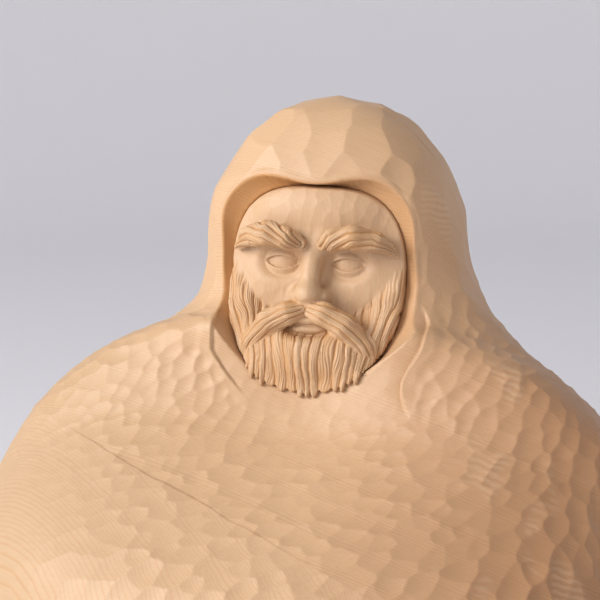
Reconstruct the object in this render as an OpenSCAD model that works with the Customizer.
// Hooded, bearded seated figure carved in joined timber blocks.
// +X is the figure's left hand side, it faces -Y, and +Z is up.
// The origin is the middle of the figure's box, on its resting face.

/* [Robe] */
// Height of the crown of the hood above the resting face
figure_h = 320; // [310:1:330]
// Widest part of the robe, side to side
robe_w = 320; // [310:1:335]
// Deepest part of the robe, front to back
robe_d = 264; // [258:1:276]
// Height at which the shoulders would close without the hood
shoulder_z = 231; // [227:1:235]
// Height at which the front of the robe would close without the hood
chest_z = 215; // [212:1:218]
// Depth of the dip in the chest that the beard lies over
chest_dip = 34; // [28:1:38]
// How much narrower the foot of the robe is than its widest part
foot_taper = 0.09; // [0.04:0.01:0.14]

/* [Hood] */
// Width of the hood over the ears
hood_w = 115; // [112:1:118]
// Distance of the hood's middle behind the middle of the robe
hood_y = 30; // [27:1:33]
// Reach of the hood in front of its middle, up to the lip
hood_front = 34; // [32:1:36]
// Reach of the hood behind its middle
hood_back = 64; // [60:1:67]
// Height at which the hood starts to round over
hood_mid_z = 254; // [250:1:257]

/* [Face block] */
// Width of the face block
face_w = 78; // [74:1:80]
// Height of the face block's upper edge
face_top_z = 283; // [281:1:284]
// Height of the tip of the beard
beard_z = 198; // [196:1:200]
// Depth at which the flat back of the face block sits
face_back_y = 52; // [48:1:54]
// Depth of the face block's edge, inside the hood
face_edge_y = 8; // [6:1:10]
// Room between the face block and the hood
face_gap = 0.6; // [0.4:0.1:1]

/* [Joints and hollow] */
// Height of the sloping joint at the middle of the figure
joint_z = 127; // [123:1:131]
// Fall of the sloping joint towards the figure's left, in degrees
joint_fall = 22; // [20:1:24]
// Rise of the sloping joint towards the front, in degrees
joint_rise = 17; // [15:1:19]
// Thickness of timber left around the hollow
wall = 35; // [32:1:38]
// Height of the top of the hollow
hollow_top_z = 150; // [145:1:155]
// Diameter of the dowels in the body joints
dowel_d = 12; // [10:1:14]
// Length of the dowels in the body joints
dowel_l = 36; // [32:1:38]
// Diameter of the dowels behind the face block
face_dowel_d = 8; // [6:1:10]
// Length of the dowels behind the face block
face_dowel_l = 40; // [36:1:44]
// Thickness of the bottom board
board_t = 12; // [10:1:14]
// Width of the ledge that the bottom board is nailed to
board_ledge = 18; // [16:1:20]
// Diameter of the bamboo nails
nail_d = 3.6; // [3:0.2:4.4]
// Length of the bamboo nails
nail_l = 22; // [20:1:24]

/* [Hidden] */

half_w = robe_w / 2;
half_d = robe_d / 2;
widest_z = 80;        // level of the widest part, side to side and at the back
fullest_z = 55;       // level of the fullest part of the front
neck_blend = 60;      // how softly the shoulders run into the hood
back_blend = 40;
chest_blend = 24;
dip_w = 200;          // half width of the dip in the chest, low down
dip_top_w = 150;      // and close to the hood
collar_z = 200;       // between these two levels the sections move back
neck_z = 238;         // from the robe's middle to the hood's middle
sectors = 48;         // points round the envelope
hollow_sectors = 32;  // points round the hollow
face_sectors = 44;    // points round the face block
face_rings = 18;      // rings from its edge to its middle
big = 600;

timber = [0.90, 0.76, 0.58];
timber_2 = [0.87, 0.72, 0.53];
timber_3 = [0.84, 0.69, 0.50];
hardwood = [0.62, 0.45, 0.28];
bamboo = [0.78, 0.70, 0.42];

// ---- Rules for the outer form ----

function soft_max(a, b, k) = max(a, b) + pow(max(0, 1 - abs(a - b) / k), 2) * k / 4;

function smooth_step(a, b, t) =
    let (s = min(1, max(0, (t - a) / (b - a)))) s * s * (3 - 2 * s);

function mix(a, b, t) = a + (b - a) * t;

// A profile that is 1 up to the level base and closes at the level top
function swell(z, base, top, power) =
    z <= base ? 1 : z >= top ? 0 : pow(1 - pow((z - base) / (top - base), power), 1 / power);

function foot(z, base) = z >= base ? 1 : 1 - foot_taper * pow((base - z) / base, 2);

// The hood keeps its width up to hood_mid_z and closes as an ellipse at the crown
function dome(z) = swell(z, hood_mid_z, figure_h, 2);

// Above the shoulders the robe's own width falls away, so that it leaves the hood alone
function past_shoulder(z) = 4 * max(0, z - shoulder_z);

function body_swell(z) = swell(z, widest_z, shoulder_z, 2.3) * foot(z, widest_z);

function side_reach(z) =
    soft_max(half_w * body_swell(z) - past_shoulder(z), hood_w / 2 * dome(z), neck_blend);

function back_reach(z) =
    soft_max(half_d * body_swell(z) - past_shoulder(z), hood_y + hood_back * dome(z), back_blend);

function front_reach(z) =
    let (chest = half_d * swell(z, fullest_z, chest_z, 1.5) * foot(z, fullest_z))
    soft_max(chest - past_shoulder(z), hood_front * dome(z) - hood_y, chest_blend);

// The dip in the chest below the hood, at X and at level z, narrower close to the hood
function dip(x, z) =
    let (near = smooth_step(180, 205, z), depth = chest_dip * mix(1, 1.15, near))
    depth * exp(-pow(x / mix(dip_w, dip_top_w, near), 2))
        * smooth_step(125, 185, z) * (1 - smooth_step(208, 232, z));

// Depth at which a section is widest: the robe's middle below, the hood's middle above
function middle_y(z) = hood_y * smooth_step(collar_z, neck_z, z);

function signed_pow(v, p) = sign(v) * pow(abs(v), p);

// One point of the section at level z, with the sides moved in by gap
function section_point(z, angle, gap = 0) =
    let (
        front = sin(angle) < 0,
        boxy = smooth_step(collar_z, neck_z, z),
        power = front ? mix(2, 4, boxy) : mix(2.3, 2.1, boxy),
        reach = front ? middle_y(z) + front_reach(z) - 1.3 * gap : back_reach(z) - middle_y(z) - gap,
        x = (side_reach(z) - gap) * signed_pow(cos(angle), 2 / power),
        y = middle_y(z) + reach * signed_pow(sin(angle), 2 / power)
    )
    [x, front ? y + min(dip(x, z), max(0, hood_y - hood_front - y)) : y];

function section(z, count, gap = 0) =
    [for (i = [0 : count - 1]) section_point(z, 360 * i / count, gap)];

// Levels: even steps up to the hood, then even angles over the dome
lower_levels = [for (i = [0 : 17]) hood_mid_z * i / 18];
dome_levels = [for (a = [0 : 12 : 84]) hood_mid_z + (figure_h - hood_mid_z) * sin(a)];
levels = concat(lower_levels, dome_levels);

// ---- Lofts ----

// A closed solid through rings of equal point counts, with flat ends or a point on top
module loft(rings, apex = undef) {
    n = len(rings[0]);
    last = len(rings) - 1;
    flat_points = [for (ring = rings) each ring];
    top_index = len(flat_points);
    points = is_undef(apex) ? flat_points : concat(flat_points, [apex]);
    sides = [
        for (r = [0 : last - 1], i = [0 : n - 1])
            let (a = r * n + i, b = r * n + (i + 1) % n, mirrored = i % (n / 2) >= n / 4)
            each mirrored
                ? [[a, a + n, b + n], [a, b + n, b]]
                : [[a, a + n, b], [b, a + n, b + n]]
    ];
    bottom = [[for (i = [0 : n - 1]) i]];
    top = is_undef(apex)
        ? [[for (i = [n - 1 : -1 : 0]) last * n + i]]
        : [for (i = [0 : n - 1]) [last * n + i, top_index, last * n + (i + 1) % n]];
    polyhedron(points = points, faces = concat(bottom, sides, top));
}

function at_level(outline, z) = [for (p = outline) [p[0], p[1], z]];

module envelope() {
    loft([for (z = levels) at_level(section(z, sectors), z)], [0, hood_y, figure_h]);
}

// The hollow follows the outer form, and rounds over below its flat top
function hollow_shrink(z) = swell(z, hollow_top_z - 40, hollow_top_z + 12, 2);

module hollow() {
    steps = 8;
    loft([
        for (i = [0 : steps])
            let (z = i == 0 ? -1 : hollow_top_z * i / steps)
            let (outline = section(max(0, z), hollow_sectors, wall))
            at_level([for (p = outline) p * hollow_shrink(z)], z)
    ]);
}

// ---- Cuts between the blocks ----

// Height of the sloping joint over any point of the plan
function joint_level(x, y) = joint_z - x * tan(joint_fall) - y * tan(joint_rise);

joint_normal = [tan(joint_fall), tan(joint_rise), 1];

// Turns Z to stand square to the sloping joint
module square_to_joint() {
    tilt = acos(1 / norm(joint_normal));
    turn = atan2(joint_normal[1], joint_normal[0]);
    rotate([0, 0, turn]) rotate([0, tilt, 0]) children();
}

module above_joint() {
    translate([0, 0, joint_z]) square_to_joint()
        translate([-big / 2, -big / 2, 0]) cube(big);
}

module behind_middle() {
    translate([-big / 2, 0, -big / 2]) cube(big);
}

// ---- Dowels and nails ----

// The point on the sloping joint that lies inset behind the robe's surface, in a few passes
function wall_on_joint(angle, inset, z = joint_z, passes = 6) =
    let (p = section_point(z, angle, inset), level = joint_level(p[0], p[1]))
    passes == 0 ? [p[0], p[1], level] : wall_on_joint(angle, inset, (z + level) / 2, passes - 1);

// Direction of each dowel from the middle, and its inset in thicknesses of the wall
sloping_dowel_places = [[20, 0.5], [65, 0.5], [118, 0.5], [184, 1.3], [286, 0.67], [322, 0.5]];

module sloping_dowels() {
    for (place = sloping_dowel_places)
        translate(wall_on_joint(place[0], place[1] * wall)) square_to_joint()
            cylinder(d = dowel_d, h = dowel_l, center = true, $fn = 32);
}

// Side and height of each dowel between the lower front and lower back blocks
lower_dowel_places = [[-1, 34], [-1, 92], [1, 30]];

module lower_dowels() {
    for (place = lower_dowel_places)
        translate([place[0] * (side_reach(place[1]) - wall / 2), 0, place[1]])
            rotate([90, 0, 0]) cylinder(d = dowel_d, h = dowel_l, center = true, $fn = 32);
}

face_dowel_heights = [222, 256];

module face_pegs() {
    for (z = face_dowel_heights)
        translate([0, face_back_y, z])
            rotate([90, 0, 0]) cylinder(d = face_dowel_d, h = face_dowel_l, center = true, $fn = 32);
}

nail_angles = [35, 90, 145, 215, 270, 325];

module nails() {
    for (angle = nail_angles)
        let (p = section_point(0, angle, wall - board_ledge / 2))
        translate([p[0], p[1], 0]) cylinder(d = nail_d, h = nail_l, $fn = 24);
}

// ---- Face block ----

face_mid_z = (face_top_z + beard_z) / 2;
face_half_h = (face_top_z - beard_z) / 2;

// Outline of the face block seen from the front, in X and Z, grown by room
function face_outline(angle, room = 0) =
    let (power = sin(angle) > 0 ? 2.9 : 2.2)
    [
        (face_w / 2 + room) * signed_pow(cos(angle), 2 / power),
        (face_half_h + room) * signed_pow(sin(angle), 2 / power),
    ];

function bump(x, z, x0, z0, wide, high) = exp(-pow((x - x0) / wide, 2) - pow((z - z0) / high, 2));

// Both sides of the face carry the same feature
function pair(x, z, x0, z0, wide, high) =
    bump(x, z, x0, z0, wide, high) + bump(x, z, -x0, z0, wide, high);

// How far the face stands out at X and at Z above the eye line: even thirds from
// hairline to brow, brow to nose and nose to chin, and a face five eyes wide
third = 22;
eye_w = 14;
eye_line_z = 250;
function face_relief(x, z) =
    let (
        brow = pair(x, z, eye_w, 8, 10, 3.2) * 5,
        socket = -pair(x, z, eye_w, 1, 8, 6) * 3.5,
        eye = pair(x, z, eye_w, 0, 5.5, 3.6) * 2.6,
        nose = bump(x, z, 0, -3, 3.6, 9) * 4 + bump(x, z, 0, 5 - third, 6.5, 7) * 10,
        cheek = pair(x, z, 1.3 * eye_w, 3 - third, 9, 9) * 3,
        moustache = pair(x, z, 0.7 * eye_w, -third - 3, 9, 4.5) * 5,
        mouth = -bump(x, z, 0, -third - 8, 9, 1.8) * 3,
        beard = bump(x, z, 0, -2 * third, 24, 18) * 8
    )
    brow + socket + eye + nose + cheek + moustache + mouth + beard;

// Depth of the face's surface at a share of the way from its middle to its edge
function face_y(x, z, share) =
    face_edge_y - (1 - pow(share, 2.4)) * 13 - face_relief(x, z - eye_line_z) * (1 - pow(share, 5));

module face_solid() {
    outline = [for (i = [0 : face_sectors - 1]) face_outline(360 * i / face_sectors)];
    back = [for (p = outline) [p[0], face_back_y, face_mid_z + p[1]]];
    front = [
        for (r = [0 : face_rings - 1])
            let (share = 1 - r / face_rings)
            [
                for (p = outline)
                    let (x = p[0] * share, z = face_mid_z + p[1] * share)
                    [x, face_y(x, z, share), z]
            ]
    ];
    loft(concat([back], front), [0, face_y(0, face_mid_z, 0), face_mid_z]);
}

// The pocket that the face block slides into, and the flared mouth of the hood
module face_room() {
    points = [for (i = [0 : face_sectors - 1]) face_outline(360 * i / face_sectors, face_gap)];
    flare = 1 + 16 / face_w;
    translate([0, face_back_y, face_mid_z]) rotate([90, 0, 0])
        linear_extrude(height = face_back_y + half_d) polygon(points);
    translate([0, face_edge_y, face_mid_z]) rotate([90, 0, 0])
        linear_extrude(height = 18, scale = [flare, 1.06]) polygon(points);
}

// ---- Sub-parts ----

module hood_block() {
    color(timber) difference() {
        intersection() {
            envelope();
            above_joint();
        }
        hollow();
        face_room();
        face_pegs();
        sloping_dowels();
    }
}

module lower_blocks() {
    difference() {
        envelope();
        above_joint();
        hollow();
        board_solid(0);
        sloping_dowels();
        lower_dowels();
        nails();
    }
}

module lower_front_block() {
    color(timber_2) difference() {
        lower_blocks();
        behind_middle();
    }
}

module lower_back_block() {
    color(timber_3) intersection() {
        lower_blocks();
        behind_middle();
    }
}

module face_block() {
    color(timber) difference() {
        face_solid();
        face_pegs();
    }
}

// The board drops into the mouth of the hollow and covers its ledge
module board_solid(room) {
    linear_extrude(height = board_t) polygon(section(0, sectors, wall - board_ledge + room));
}

module bottom_board() {
    color(timber_3) difference() {
        board_solid(0.4);
        nails();
    }
}

module sloping_joint_dowels() {
    color(hardwood) sloping_dowels();
}

module lower_joint_dowels() {
    color(hardwood) lower_dowels();
}

module face_dowels() {
    color(hardwood) face_pegs();
}

module board_nails() {
    color(bamboo) nails();
}

hood_block();
lower_front_block();
lower_back_block();
face_block();
bottom_board();
sloping_joint_dowels();
lower_joint_dowels();
face_dowels();
board_nails();
